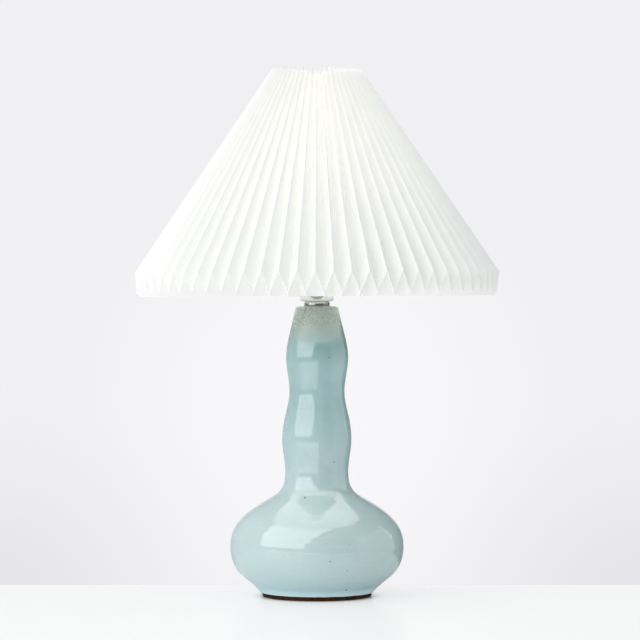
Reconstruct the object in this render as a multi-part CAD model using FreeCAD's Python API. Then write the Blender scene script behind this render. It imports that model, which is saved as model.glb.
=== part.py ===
import FreeCAD, Part
import math
import os

# Table lamp: a squashed gourd of glazed stoneware with a twice swollen neck, a screw lampholder
# with a push button on its front, and a pleated conical shade on a wire carrier.
# Millimetres, +Z up, origin at the centre of the foot's standing plane, front towards -Y.

Vector = FreeCAD.Vector
UP = Vector(0, 0, 1)
BACK = Vector(0, 1, 0)

# ---- Stoneware body: radius and height of each turn of the outline
foot_r = 57.7
foot_edge_r = 58.4          # where the glaze starts
foot_h = 4.2                # bare clay band
foot_ring_w = 9.0
foot_recess = 4.0
floor_t = 7.0
wall_t = 6.5
heel_r, heel_z = 64.9, 10.8
flank_r, flank_z = 83.4, 27.5
belly_r, belly_z = 90.7, 50.0
shoulder_r, shoulder_z = 87.2, 69.1
fall_r, fall_z = 69.0, 89.6
slope_r, slope_z = 48.8, 102.3
saddle_r, saddle_z = 37.6, 110.7
low_waist_r, low_waist_z = 33.1, 124.5
low_bulge_r, low_bulge_z = 36.2, 159.5
neck_fall_r, neck_fall_z = 33.8, 185.5
high_waist_r, high_waist_z = 28.8, 211.0
high_bulge_r, high_bulge_z = 32.4, 249.0
taper_r, taper_z = 27.2, 279.5
lip_r = 22.3
lip_round = 2.6
neck_top_z = 302.2
ledge_h = 8.0               # clay left above the clamp bar
neck_bore_r = 7.2
seat_depth = 0.8            # shallow dish that centres the gasket and collar
seat_gap = 0.4

# ---- Cord inlet, at the back
inlet_z = 36.0
inlet_bore_r = 3.3
inlet_barrel_r = 4.9
inlet_barrel_l = 11.0
inlet_flange_r = 6.6
inlet_flange_t = 1.8
inlet_gap = 0.1
inlet_spot_gap = 0.4

# ---- Stem fittings that hold the lampholder on the neck
nipple_r = 5.0
nipple_bore_r = 3.6
nipple_tail = 3.0           # stands out below the nut
nipple_head = 7.0           # screwed into the lampholder cap, from its underside
stem_gap = 0.1
gasket_r = 12.4
gasket_t = 0.8
collar_r = 13.2
collar_h = 5.0
collar_wall = 1.6
collar_step_w = 0.7
collar_step_h = 0.9
bar_l, bar_w, bar_t = 27.0, 11.0, 3.0
washer_r, washer_t = 8.4, 0.8
washer_teeth = 10
nut_flats, nut_h = 14.0, 3.2

# ---- Lampholder cap with its lock screw
cap_r = 17.5
cap_wall = 1.8
cap_floor = 2.6
cap_h = 27.0
cap_round = 2.6
spigot_h = 6.0              # reduced top that the sleeve screws over
spigot_inset = 0.7
pad_w, pad_depth, pad_h = 8.0, 5.0, 4.6
lock_screw_r = 1.5

# ---- Push button and switch block
button_r = 8.2
button_z = 10.4             # its axis above the cap's underside
button_t = 4.0
button_proud = 0.5
button_gap = 0.25
button_crown = 0.7
stem_r = 3.0
button_travel = 2.5
block_w, block_h = 13.0, 17.5
block_back = 1.0            # wall behind the stem's blind bore
block_clear = 0.5           # left in front of and behind the pressed button
block_stem_gap = 0.4        # between the block and the nipple

# ---- Lampholder core, contacts and threaded shell
core_flange_t = 3.0
core_hub_h = 5.0
core_gap = 0.4
terminal_r, terminal_head_r, terminal_head_h, terminal_l = 1.5, 2.8, 1.6, 4.0
terminal_x, terminal_y = 6.5, 6.5
contact_w, contact_t, contact_rise = 5.0, 0.5, 2.2
contact_reach = 9.0
shell_in_r = 13.45
shell_t = 0.5
shell_h = 21.0
tab_w = 4.0
tab_h = 7.0

# ---- Lampholder sleeve and the two shade rings on its thread
sleeve_r = 19.7
sleeve_wall = 1.7
sleeve_h = 36.0
sleeve_skirt_h = 7.0
sleeve_mouth_r = 15.4
sleeve_mouth_t = 2.0
ring_r = 24.0
ring_h = 7.0
ring_gap = 0.1
ring_grips = 16
grip_r = 1.3
ring_z = 11.0               # lower ring's underside above the sleeve's lower edge

# ---- Wire carrier of the shade
hub_r = 30.0
hub_t = 1.5
hub_clear = 0.35
hub_lift = 0.1
wire_r = 1.3
arm_count = 4
arm_bend = 9.0
arm_start = 1.6             # beyond the shade rings
arm_rise = 164.8            # top ring's centre above the hub
top_ring_r = 47.0
top_wire_r = 1.6
weld = 0.3

# ---- Pleated shade: one sheet in equal accordion folds, its border folded back inside
pleats = 66
pleat_w = 16.5              # width of one panel
sheet_t = 0.4
cone_angle = 34.0           # of the ridges from the vertical
rim_r = 47.0                # ridge radius at the top
ridge_l = 255.7             # from the rim down to the border fold
border_angle = 46.0         # of the border from the vertical, inwards
hem_l = 6.5                 # border beyond the lowest fold points, its free edge cut level
shade_gap = 0.3             # between the valley folds and the carrier's ring

# ---- Bulb
bulb_r = 30.0
bulb_l = 107.0
glass_t = 1.0
glass_neck_gap = 0.3
glass_neck_l = 4.0          # length cemented inside the screw cap
glass_swell = 36.0          # degrees under the equator where the neck's sweep begins
bulb_cap_r = 13.1
bulb_cap_l = 21.0
bulb_cap_wall = 0.5
bulb_cone_h = 2.6
bulb_tip_r, bulb_tip_h = 5.0, 0.9
bulb_gap = 0.3              # above the centre contact

# ---- Levels, from the neck upwards
seat_z = neck_top_z - seat_depth
gasket_top = seat_z + gasket_t
collar_top = gasket_top + collar_h
cap_z = collar_top
cap_top = cap_z + cap_h
sleeve_z = cap_top - spigot_h
core_top = cap_top + core_flange_t
sleeve_top = sleeve_z + sleeve_h
lower_ring_z = sleeve_z + ring_z
hub_z = lower_ring_z + ring_h + hub_lift
upper_ring_z = hub_z + hub_t + hub_lift
top_ring_z = hub_z + hub_t + arm_rise
ledge_z = neck_top_z - ledge_h
bar_z = ledge_z - bar_t
washer_z = bar_z - washer_t
nut_z = washer_z - nut_h
bulb_z = core_top + contact_rise + contact_t + bulb_gap
button_axis_z = cap_z + button_z
button_front_y = -cap_r - button_proud
button_back_y = button_front_y + button_t
block_front_y = button_back_y + button_travel + block_clear
block_back_y = -nipple_r - block_stem_gap


def at(r, z):
    """Point of an outline in the XZ half plane."""
    return Vector(r, 0, z)


def line(a, b):
    return Part.LineSegment(a, b).toShape()


def arc(a, middle, b):
    return Part.Arc(a, middle, b).toShape()


def turned(edges):
    """Solid of revolution about Z from the closed outline that the edges form."""
    face = Part.Face(Part.Wire(Part.sortEdges(edges)[0]))
    solid = face.revolve(Vector(0, 0, 0), UP, 360)
    return solid if solid.Volume > 0 else solid.reversed()


def lathe(points):
    """Solid of revolution from a closed outline of straight runs."""
    closed = points + points[:1]
    return turned([line(at(*a), at(*b)) for a, b in zip(closed, closed[1:])])


def disc(r, z, h):
    return Part.makeCylinder(r, h, Vector(0, 0, z))


def ring(r_out, r_in, z, h):
    return disc(r_out, z, h).cut(disc(r_in, z, h))


def block(x, y, z, w, d, h):
    """Box centred on x, from y backwards and z upwards."""
    return Part.makeBox(w, d, h, Vector(x - w / 2, y, z))


def around(shape, angle):
    copy = shape.copy()
    copy.rotate(Vector(0, 0, 0), UP, angle)
    return copy


def save(name, shape):
    """Writes one sub-part, after a last test that it is sound."""
    solids = shape.Solids
    if not solids or not all(s.isValid() and s.Volume > 0 for s in solids):
        raise ValueError(name + " is not sound")
    result = solids[0] if len(solids) == 1 else Part.makeCompound(solids)
    result.exportStep("parts/" + name + ".step")
    print(name, len(solids), round(sum(s.Volume for s in solids)))


# ---- Stoneware

def body_outline():
    """Outer outline from the glaze's edge to the lip, through each turn of the form."""
    turns = [
        (foot_edge_r, foot_h), (heel_r, heel_z), (flank_r, flank_z), (belly_r, belly_z),
        (shoulder_r, shoulder_z), (fall_r, fall_z), (slope_r, slope_z), (saddle_r, saddle_z),
        (low_waist_r, low_waist_z), (low_bulge_r, low_bulge_z), (neck_fall_r, neck_fall_z),
        (high_waist_r, high_waist_z), (high_bulge_r, high_bulge_z), (taper_r, taper_z),
        (lip_r, neck_top_z - lip_round),
    ]
    curve = Part.BSplineCurve()
    curve.interpolate(Points=[at(r, z) for r, z in turns])
    return curve, [at(r, z) for r, z in turns]


def outline_radius(curve, z):
    """Radius of the outline at one height, by halving."""
    low, high = curve.FirstParameter, curve.LastParameter
    for _ in range(50):
        mid = (low + high) / 2
        if curve.value(mid).z < z:
            low = mid
        else:
            high = mid
    return curve.value(low).x


def cavity_outline(curve, turns):
    """The same turns moved in by the wall, from the floor to the ledge under the neck's top."""
    floor_z = foot_recess + floor_t
    points = [at(outline_radius(curve, floor_z) - wall_t * 1.5, floor_z)]
    for turn in turns[2:-1]:
        run = curve.tangent(curve.parameter(turn))[0]
        points.append(turn + Vector(-run.z, 0, run.x) * wall_t)
    points.append(at(outline_radius(curve, ledge_z) - wall_t, ledge_z))
    inner = Part.BSplineCurve()
    inner.interpolate(Points=points)
    return inner, points[0], points[-1]


def stoneware_body():
    curve, turns = body_outline()
    inner, floor_edge, ledge_edge = cavity_outline(curve, turns)
    lip_foot = turns[-1]
    lip_top = at(lip_r - lip_round, neck_top_z)
    bend = lip_round * math.sqrt(0.5)
    lip_mid = at(lip_r - lip_round + bend, neck_top_z - lip_round + bend)
    dish_r = collar_r + seat_gap
    corners = [
        lip_top, at(dish_r, neck_top_z), at(dish_r, seat_z), at(neck_bore_r, seat_z),
        at(neck_bore_r, ledge_z), ledge_edge,
    ]
    base = [
        floor_edge, at(0, floor_edge.z), at(0, foot_recess),
        at(foot_r - foot_ring_w, foot_recess), at(foot_r - foot_ring_w, 0), at(foot_r, 0), turns[0],
    ]
    edges = [curve.toShape(), arc(lip_foot, lip_mid, lip_top), inner.toShape()]
    edges += [line(a, b) for a, b in zip(corners, corners[1:])]
    edges += [line(a, b) for a, b in zip(base, base[1:])]
    body = turned(edges)
    spot_r = inlet_flange_r + inlet_spot_gap
    spot = Part.makeCylinder(spot_r, wall_t * 3, Vector(0, inlet_face(), inlet_z), BACK)
    hole_start = Vector(0, inlet_face() - wall_t * 3, inlet_z)
    hole = Part.makeCylinder(inlet_barrel_r + inlet_gap, wall_t * 4, hole_start, BACK)
    return body.cut(spot).cut(hole)


def inlet_face():
    """Flat ground into the wall for the bushing's flange, touching its lowest edge."""
    curve, _ = body_outline()
    return outline_radius(curve, inlet_z - inlet_flange_r - inlet_spot_gap)


def cord_bushing():
    face = Vector(0, inlet_face(), inlet_z)
    flange = Part.makeCylinder(inlet_flange_r, inlet_flange_t, face, BACK)
    rim = [e for e in flange.Edges if abs(e.CenterOfMass.y - face.y - inlet_flange_t) < 0.01]
    flange = flange.makeFillet(inlet_flange_t * 0.4, rim[:1])
    start = face - BACK * inlet_barrel_l
    barrel = Part.makeCylinder(inlet_barrel_r, inlet_barrel_l, start, BACK)
    bore = Part.makeCylinder(inlet_bore_r, inlet_barrel_l + inlet_flange_t, start, BACK)
    return flange.fuse(barrel).removeSplitter().cut(bore)


# ---- Neck fittings

def neck_gasket():
    return ring(gasket_r, nipple_r + stem_gap, seat_z, gasket_t)


def neck_collar():
    """Turned cup, its web on top, with a narrow step under the lampholder."""
    inside = collar_r - collar_wall
    return lathe([
        (inside, gasket_top), (collar_r, gasket_top), (collar_r, collar_top - collar_step_h),
        (collar_r - collar_step_w, collar_top - collar_step_h),
        (collar_r - collar_step_w, collar_top), (nipple_r + stem_gap, collar_top),
        (nipple_r + stem_gap, collar_top - collar_wall), (inside, collar_top - collar_wall),
    ])


def clamp_bar():
    """Bar with round ends that lies across the bore under the ledge."""
    bar = block(0, -bar_w / 2, bar_z, bar_l - bar_w, bar_w, bar_t)
    for side in (-1, 1):
        bar = bar.fuse(Part.makeCylinder(bar_w / 2, bar_t, Vector(side * (bar_l - bar_w) / 2, 0, bar_z)))
    return bar.removeSplitter().cut(disc(nipple_r + stem_gap, bar_z, bar_t))


def lock_washer():
    washer = ring(washer_r, nipple_r + stem_gap, washer_z, washer_t)
    depth = (washer_r - nipple_r) * 0.4
    notch = block(0, washer_r - depth, washer_z, depth, depth * 2, washer_t)
    for i in range(washer_teeth):
        washer = washer.cut(around(notch, i * 360 / washer_teeth))
    return washer


def nipple_nut():
    corner = nut_flats / 2 / math.cos(math.pi / 6)
    corners = [Vector(corner * math.cos(i * math.pi / 3), corner * math.sin(i * math.pi / 3), nut_z)
               for i in range(7)]
    prism = Part.Face(Part.makePolygon(corners)).extrude(UP * nut_h)
    return prism.cut(disc(nipple_r + stem_gap, nut_z, nut_h))


def threaded_nipple():
    start = nut_z - nipple_tail
    return ring(nipple_r, nipple_bore_r, start, cap_z + nipple_head - start)


# ---- Lampholder

def holder_cap():
    """Cup with a rounded foot, a round opening for the button and a pad for the lock screw."""
    cup = disc(cap_r, cap_z, cap_h - spigot_h)
    foot = [e for e in cup.Edges if abs(e.CenterOfMass.z - cap_z) < 0.01]
    cup = cup.makeFillet(cap_round, foot[:1])
    cup = cup.fuse(disc(cap_r - spigot_inset, cap_top - spigot_h, spigot_h))
    cup = cup.cut(disc(cap_r - cap_wall, cap_z + cap_floor, cap_h))
    pad = block(0, nipple_r, cap_z + cap_floor, pad_w, pad_depth, pad_h)
    cup = cup.fuse(pad).cut(disc(nipple_r + stem_gap, cap_z, cap_floor + pad_h))
    cup = cup.cut(lock_screw_solid())
    window = Part.makeCylinder(button_r + button_gap, cap_r, Vector(0, -cap_r * 1.5, button_axis_z), BACK)
    return cup.cut(window)


def lock_screw_solid():
    """Headless screw through the pad, bearing on the nipple."""
    start = Vector(0, nipple_r + stem_gap, cap_z + cap_floor + pad_h / 2)
    return Part.makeCylinder(lock_screw_r, pad_depth, start, BACK)


def switch_block():
    """Closed switch body behind the button, with a blind bore for its stem."""
    depth = block_back_y - block_front_y
    body = block(0, block_front_y, cap_z + cap_floor, block_w, depth, block_h)
    bore_start = Vector(0, block_front_y, button_axis_z)
    return body.cut(Part.makeCylinder(stem_r + stem_gap, depth - block_back, bore_start, BACK))


def switch_button():
    """Round key with a slightly crowned front, on a short stem that slides in the block."""
    key = Part.makeCylinder(button_r, button_t, Vector(0, button_front_y, button_axis_z), BACK)
    edge = [e for e in key.Edges if abs(e.CenterOfMass.y - button_front_y) < 0.01]
    key = key.makeFillet(button_crown, edge[:1])
    stem_l = block_back_y - block_back - block_clear - button_travel - button_back_y
    stem = Part.makeCylinder(stem_r, stem_l, Vector(0, button_back_y, button_axis_z), BACK)
    return key.fuse(stem).removeSplitter()


def holder_core():
    """Insulating insert: a flange on the cap's rim, and a hub inside it."""
    core = disc(cap_r - spigot_inset, cap_top, core_flange_t)
    core = core.fuse(disc(cap_r - cap_wall - core_gap, cap_top - core_hub_h, core_hub_h)).removeSplitter()
    for screw in terminal_screws().Solids:
        core = core.cut(screw)
    return core


def terminal_screws():
    under = cap_top - core_hub_h
    screws = []
    for side in (-1, 1):
        place = Vector(side * terminal_x, terminal_y, under)
        head = Part.makeCylinder(terminal_head_r, terminal_head_h, place - UP * terminal_head_h)
        slot = block(place.x, place.y - terminal_head_r, under - terminal_head_h,
                     terminal_r / 2, terminal_head_r * 2, terminal_head_h / 2)
        shank = Part.makeCylinder(terminal_r, terminal_l, place)
        screws.append(head.cut(slot).fuse(shank).removeSplitter().Solids[0])
    return Part.makeCompound(screws)


def centre_contact():
    """Sprung strip, foot on the core, bent up to a tongue over the centre."""
    top = core_top + contact_rise
    bend = contact_rise + contact_t
    outline = [
        (-contact_reach, core_top), (-bend, core_top), (0, top), (contact_w / 2, top),
        (contact_w / 2, top + contact_t), (-contact_t / 2, top + contact_t),
        (-bend - contact_t / 2, core_top + contact_t), (-contact_reach, core_top + contact_t),
    ]
    points = [Vector(x, -contact_w / 2, z) for x, z in outline]
    return Part.Face(Part.makePolygon(points + points[:1])).extrude(BACK * contact_w)


def screw_shell():
    return ring(shell_in_r + shell_t, shell_in_r, core_top, shell_h)


def side_contact():
    """Upright tab that feeds the shell from its outside."""
    start = shell_in_r + shell_t
    tab = block(0, start, core_top, tab_w, shell_t * 2, tab_h)
    return tab.cut(disc(start, core_top, tab_h))


def holder_sleeve():
    """Outer sleeve: skirt over the cap's spigot, threaded barrel, inturned mouth."""
    bore = sleeve_r - sleeve_wall
    skirt = cap_r
    spigot = cap_r - spigot_inset + stem_gap
    return lathe([
        (spigot, sleeve_z), (skirt, sleeve_z), (sleeve_r, sleeve_z + sleeve_skirt_h),
        (sleeve_r, sleeve_top - sleeve_wall), (sleeve_r - sleeve_wall / 2, sleeve_top),
        (sleeve_mouth_r, sleeve_top), (sleeve_mouth_r, sleeve_top - sleeve_mouth_t),
        (bore, sleeve_top - sleeve_mouth_t), (bore, core_top + stem_gap), (spigot, core_top + stem_gap),
    ])


def shade_ring(z):
    """Ring nut with finger grips round its edge."""
    nut = ring(ring_r, sleeve_r + ring_gap, z, ring_h)
    grip = Part.makeCylinder(grip_r, ring_h, Vector(ring_r + grip_r * 0.4, 0, z))
    grips = [around(grip, i * 360 / ring_grips) for i in range(ring_grips)]
    return nut.cut(Part.makeCompound(grips))


# ---- Shade carrier

def carrier_hub():
    return ring(hub_r, sleeve_r + hub_clear, hub_z, hub_t)


def carrier_top_ring():
    return Part.makeTorus(top_ring_r, top_wire_r, Vector(0, 0, top_ring_z))


def carrier_arms():
    """Bent wires, out along the hub and up to the top ring, let in a little at each weld."""
    foot = at(ring_r + arm_start, hub_z + hub_t + wire_r - weld)
    corner = at(top_ring_r, foot.z)
    bend_start = corner - Vector(arm_bend, 0, 0)
    bend_end = corner + UP * arm_bend
    turn = arm_bend * (1 - math.sqrt(0.5))
    bend_mid = corner + Vector(-turn, 0, turn)
    top = at(top_ring_r, top_ring_z)
    path = Part.Wire([line(foot, bend_start), arc(bend_start, bend_mid, bend_end), line(bend_end, top)])
    section = Part.Wire(Part.makeCircle(wire_r, foot, Vector(1, 0, 0)))
    arm = path.makePipeShell([section], True, False)
    arm = arm.cut(carrier_hub()).cut(carrier_top_ring()).Solids[0]
    first = 180 / arm_count
    return Part.makeCompound([around(arm, first + i * 360 / arm_count) for i in range(arm_count)])


# ---- Pleated shade

def fold_depth(r):
    """How far a valley fold lies under the cone of the ridges, so that each panel keeps its width."""
    angle = math.radians(cone_angle)
    q = 2 - 2 * math.cos(math.pi / pleats)
    half = q * r * math.cos(angle) / 2
    return half + math.sqrt(half * half - q * r * r + pleat_w * pleat_w)


def sheet_sections():
    """(r, z) of the ridge and the valley line at rim, border fold and free edge, from the rim down."""
    angle = math.radians(cone_angle)
    tilt = math.radians(border_angle)
    down = (math.sin(angle), -math.cos(angle))
    border = (-math.sin(tilt), -math.cos(tilt))

    def ridge(length):
        return rim_r + length * down[0], length * down[1]

    def valley(length):
        r, z = ridge(length)
        depth = fold_depth(r)
        return r - depth * math.cos(angle), z - depth * math.sin(angle)

    def beyond(point, length):
        return point[0] + length * border[0], point[1] + length * border[1]

    ridge_fold = ridge(ridge_l)
    valley_fold = valley(ridge_l + pleat_w)
    valley_edge = beyond(valley_fold, hem_l)
    level_l = (ridge_fold[1] - valley_edge[1]) / math.cos(tilt)
    ridges = [ridge(0), ridge_fold, beyond(ridge_fold, level_l)]
    valleys = [valley(0), valley_fold, valley_edge]
    return ridges, valleys


def on_line(section, half_pleat, z_shift):
    """Place of a section point on the given half pleat, the first ridge facing the front."""
    azimuth = half_pleat * math.pi / pleats - math.pi / 2
    r, z = section
    return Vector(r * math.cos(azimuth), r * math.sin(azimuth), z + z_shift)


def panel_normal(ridges, valleys, half_pleat, level, strip):
    """Outward unit normal of a panel at one of its corners: its fold line crossed with its end edge."""
    line_points = valleys if half_pleat else ridges
    along = on_line(line_points[strip + 1], half_pleat, 0) - on_line(line_points[strip], half_pleat, 0)
    edge = on_line(valleys[level], 1, 0) - on_line(ridges[level], 0, 0)
    normal = along.cross(edge)
    normal.normalize()
    return normal if normal.y < 0 else normal * -1


def sheet_inside(ridges, valleys):
    """The inner face's section points: each fold moved in until its panels are sheet_t away."""
    inside = []
    for half_pleat, line_points in ((0, ridges), (1, valleys)):
        azimuth = half_pleat * math.pi / pleats - math.pi / 2
        radial = Vector(math.cos(azimuth), math.sin(azimuth), 0)
        moved = []
        for level, (r, z) in enumerate(line_points):
            strips = {0: [0], 1: [0, 1], 2: [1]}[level]
            normals = [panel_normal(ridges, valleys, half_pleat, level, strip) for strip in strips]
            (a, b), (c, d) = [(n.dot(radial), n.z) for n in normals + normals][:2]
            if level == 1:
                det = a * d - b * c
                move = (-sheet_t * (d - b) / det, -sheet_t * (a - c) / det)
            else:
                size = math.hypot(a, b)
                move = (-sheet_t * a / size ** 2, -sheet_t * b / size ** 2)
            moved.append((r + move[0], z + move[1]))
        inside.append(moved)
    return inside


def shade_lift(inner_valleys):
    """Height of the rim that lets the valley folds rest on the carrier's ring, less the gap."""
    (r0, z0), (r1, z1) = inner_valleys[:2]
    size = math.hypot(r1 - r0, z1 - z0)
    across = ((z0 - z1) / size, (r1 - r0) / size)
    reach = -(top_wire_r + shade_gap) - across[0] * (top_ring_r - r0)
    return top_ring_z - (z0 + reach / across[1])


def pleated_shade():
    """Closed shell of flat triangles: outer and inner panels, and the sheet's two cut edges."""
    ridges, valleys = sheet_sections()
    inner_ridges, inner_valleys = sheet_inside(ridges, valleys)
    lift = shade_lift(inner_valleys)
    faces = []

    def triangle(a, b, c):
        faces.append(Part.Face(Part.makePolygon([a, b, c, a])))

    def row(ridge_points, valley_points, level):
        return [on_line((valley_points if k % 2 else ridge_points)[level], k, lift)
                for k in range(2 * pleats)]

    outer = [row(ridges, valleys, level) for level in range(3)]
    inner = [row(inner_ridges, inner_valleys, level) for level in range(3)]
    for k in range(2 * pleats):
        near, far = (k, (k + 1) % (2 * pleats)) if k % 2 == 0 else ((k + 1) % (2 * pleats), k)
        for skin in (outer, inner):
            for level in (0, 1):
                triangle(skin[level][near], skin[level][far], skin[level + 1][far])
                triangle(skin[level][near], skin[level + 1][far], skin[level + 1][near])
        for level in (0, 2):
            triangle(outer[level][near], outer[level][far], inner[level][far])
            triangle(outer[level][near], inner[level][far], inner[level][near])
    shell = Part.makeShell(faces)
    shell.sewShape()
    solid = Part.makeSolid(Part.Shell(shell.Faces))
    return solid if solid.Volume > 0 else solid.reversed()


# ---- Bulb

def glass_form(inset):
    """Globe and neck of the bulb, all moved in by the inset."""
    r = bulb_r - inset
    neck = bulb_cap_r - bulb_cap_wall - glass_neck_gap - inset
    cap_end_z = bulb_z + bulb_tip_h + bulb_cone_h + bulb_cap_l
    neck_z = cap_end_z - glass_neck_l
    centre_z = bulb_z + bulb_l - bulb_r
    swell = math.radians(glass_swell)
    low = at(r * math.cos(swell), centre_z - r * math.sin(swell))
    side = at(r, centre_z)
    top = at(0, centre_z + r)
    bend = math.sqrt(0.5) * r
    sweep = Part.BSplineCurve()
    sweep.interpolate(Points=[at(neck, cap_end_z), low], InitialTangent=UP,
                      FinalTangent=Vector(math.sin(swell), 0, math.cos(swell)))
    low_mid = at(r * math.cos(swell / 2), centre_z - r * math.sin(swell / 2))
    edges = [
        line(at(0, neck_z), at(neck, neck_z)), line(at(neck, neck_z), at(neck, cap_end_z)),
        sweep.toShape(), arc(low, low_mid, side),
        arc(side, at(bend, centre_z + bend), top), line(top, at(0, neck_z)),
    ]
    return turned(edges)


def bulb_glass():
    return glass_form(0).cut(glass_form(glass_t))


def bulb_screw_cap():
    z = bulb_z + bulb_tip_h + bulb_cone_h
    return ring(bulb_cap_r, bulb_cap_r - bulb_cap_wall, z, bulb_cap_l)


def bulb_insulator():
    """Dark cone that closes the screw cap's lower end."""
    z = bulb_z + bulb_tip_h
    edge_z = z + bulb_cone_h
    inside = bulb_cap_r - bulb_cap_wall
    top_z = edge_z + bulb_cone_h
    return lathe([(0, z), (bulb_tip_r, z), (inside, edge_z), (inside, top_z), (0, top_z)])


def bulb_contact():
    tip = disc(bulb_tip_r, bulb_z, bulb_tip_h)
    edge = [e for e in tip.Edges if abs(e.CenterOfMass.z - bulb_z) < 0.01]
    return tip.makeFillet(bulb_tip_h * 0.6, edge[:1])


os.makedirs("parts", exist_ok=True)
save("stoneware_body", stoneware_body())
save("cord_bushing", cord_bushing())
save("neck_gasket", neck_gasket())
save("neck_collar", neck_collar())
save("clamp_bar", clamp_bar())
save("lock_washer", lock_washer())
save("nipple_nut", nipple_nut())
save("threaded_nipple", threaded_nipple())
save("holder_cap", holder_cap())
save("cap_lock_screw", lock_screw_solid())
save("switch_block", switch_block())
save("switch_button", switch_button())
save("holder_core", holder_core())
save("terminal_screws", terminal_screws())
save("centre_contact", centre_contact())
save("screw_shell", screw_shell())
save("side_contact", side_contact())
save("holder_sleeve", holder_sleeve())
save("shade_ring_lower", shade_ring(lower_ring_z))
save("shade_ring_upper", shade_ring(upper_ring_z))
save("carrier_hub", carrier_hub())
save("carrier_arms", carrier_arms())
save("carrier_top_ring", carrier_top_ring())
save("pleated_shade", pleated_shade())
save("bulb_glass", bulb_glass())
save("bulb_screw_cap", bulb_screw_cap())
save("bulb_insulator", bulb_insulator())
save("bulb_contact", bulb_contact())
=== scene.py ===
import math

import bmesh
import bpy
import numpy as np
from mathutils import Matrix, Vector


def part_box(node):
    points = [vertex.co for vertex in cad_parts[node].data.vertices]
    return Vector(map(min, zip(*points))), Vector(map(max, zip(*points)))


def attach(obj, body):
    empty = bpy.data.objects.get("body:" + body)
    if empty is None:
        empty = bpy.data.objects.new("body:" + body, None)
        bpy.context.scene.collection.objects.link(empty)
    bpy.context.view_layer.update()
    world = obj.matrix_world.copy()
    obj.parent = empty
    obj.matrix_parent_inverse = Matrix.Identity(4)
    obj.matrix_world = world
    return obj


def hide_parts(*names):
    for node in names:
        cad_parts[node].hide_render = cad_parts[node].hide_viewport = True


# Table lamp: glazed stoneware gourd with a twice swollen neck, screw lampholder, pleated cone shade.
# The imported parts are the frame; each piece made here stands for the node of the same kind.
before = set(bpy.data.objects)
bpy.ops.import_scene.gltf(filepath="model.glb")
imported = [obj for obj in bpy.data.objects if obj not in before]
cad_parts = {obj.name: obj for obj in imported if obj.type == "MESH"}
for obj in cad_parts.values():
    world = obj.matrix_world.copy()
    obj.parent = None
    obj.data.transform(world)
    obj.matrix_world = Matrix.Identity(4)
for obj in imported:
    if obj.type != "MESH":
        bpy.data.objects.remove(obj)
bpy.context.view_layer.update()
mm = 0.001


# The camera stands where the photo was taken from.

cameraPlace = {
    "focal": 163.0,         # a long lens, three metres away
    "sensor": 36.0,
    "clip": (0.05, 50.0),
    "sideways": 0.0032,
    "distance": 3.02,
    "height": 0.3145,
    "pitchDown": 0.51,      # degrees
}


def newObject(name, data):
    item = bpy.data.objects.new(name, data)
    bpy.context.scene.collection.objects.link(item)
    return item


def makeCamera():
    data = bpy.data.cameras.new("photoCamera")
    data.lens = cameraPlace["focal"]
    data.sensor_width = cameraPlace["sensor"]
    data.clip_start, data.clip_end = cameraPlace["clip"]
    camera = newObject("photoCamera", data)
    camera.location = (cameraPlace["sideways"], -cameraPlace["distance"], cameraPlace["height"])
    camera.rotation_euler = (math.radians(90 - cameraPlace["pitchDown"]), 0, 0)
    bpy.context.scene.camera = camera


makeCamera()
bpy.context.scene.view_settings.view_transform = "Standard"


# Meshes are grids of points made with numpy, in mm, and settled on the body that they ride. A piece
# is named after its node in the frame, and a material after its slot.

def camelCase(name):
    first, *others = name.split("_")
    return first + "".join(word.capitalize() for word in others)


def unit(vectors):
    return vectors / np.linalg.norm(vectors, axis=-1, keepdims=True)


def fullTurn(steps):
    return np.arange(steps) * 2 * math.pi / steps


def parabola(start, corner, end, t):
    # from start to end, tangent there to the lines through the corner
    return (1 - t) ** 2 * start[:, None] + 2 * t * (1 - t) * corner[:, None] + t ** 2 * end[:, None]


def gridQuads(rows, columns, closeRows=False):
    # corner numbers of the faces of a grid of points: its columns close into a ring, its rows where asked
    i = np.arange(rows if closeRows else rows - 1)[:, None]
    j = np.arange(columns)[None, :]
    nextI, nextJ = (i + 1) % rows, (j + 1) % columns
    corners = [i * columns + j, i * columns + nextJ, nextI * columns + nextJ, nextI * columns + j]
    return np.stack([np.broadcast_to(c, (i.size, j.size)) for c in corners], -1).reshape(-1, 4)


def tidyMesh(mesh, sharpAngle, flip=True):
    # merges doubles at poles and seams, turns faces outwards, smooths all but the sharp edges
    work = bmesh.new()
    work.from_mesh(mesh)
    bmesh.ops.remove_doubles(work, verts=work.verts, dist=2e-6)
    bmesh.ops.dissolve_degenerate(work, edges=work.edges, dist=1e-7)
    if flip:
        bmesh.ops.recalc_face_normals(work, faces=work.faces)
    for face in work.faces:
        face.smooth = True
    work.to_mesh(mesh)
    work.free()
    mesh.set_sharp_from_angle(angle=math.radians(sharpAngle))


def newMesh(name, points, faces):
    mesh = bpy.data.meshes.new(name)
    mesh.from_pydata(np.asarray(points, float).reshape(-1, 3).tolist(), [], faces)
    return mesh


def storeValues(mesh, label, numbers):
    # a number for each point, for the material to read
    store = mesh.attributes.new(label, "FLOAT", "POINT")
    store.data.foreach_set("value", np.asarray(numbers, np.float32).ravel())


def settle(piece, body, node, slot):
    piece.data.materials.append(finishes[slot])
    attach(piece, body)
    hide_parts(node)


def newPiece(node, points, quads, body, slot, sharpAngle=35.0, **values):
    # one surface as the piece that stands for a node
    mesh = newMesh(camelCase(node), points, quads.tolist())
    for label, numbers in values.items():
        storeValues(mesh, label, numbers)
    tidyMesh(mesh, sharpAngle)
    piece = newObject(camelCase(node), mesh)
    settle(piece, body, node, slot)
    return piece


cornerSteps = 6


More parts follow.
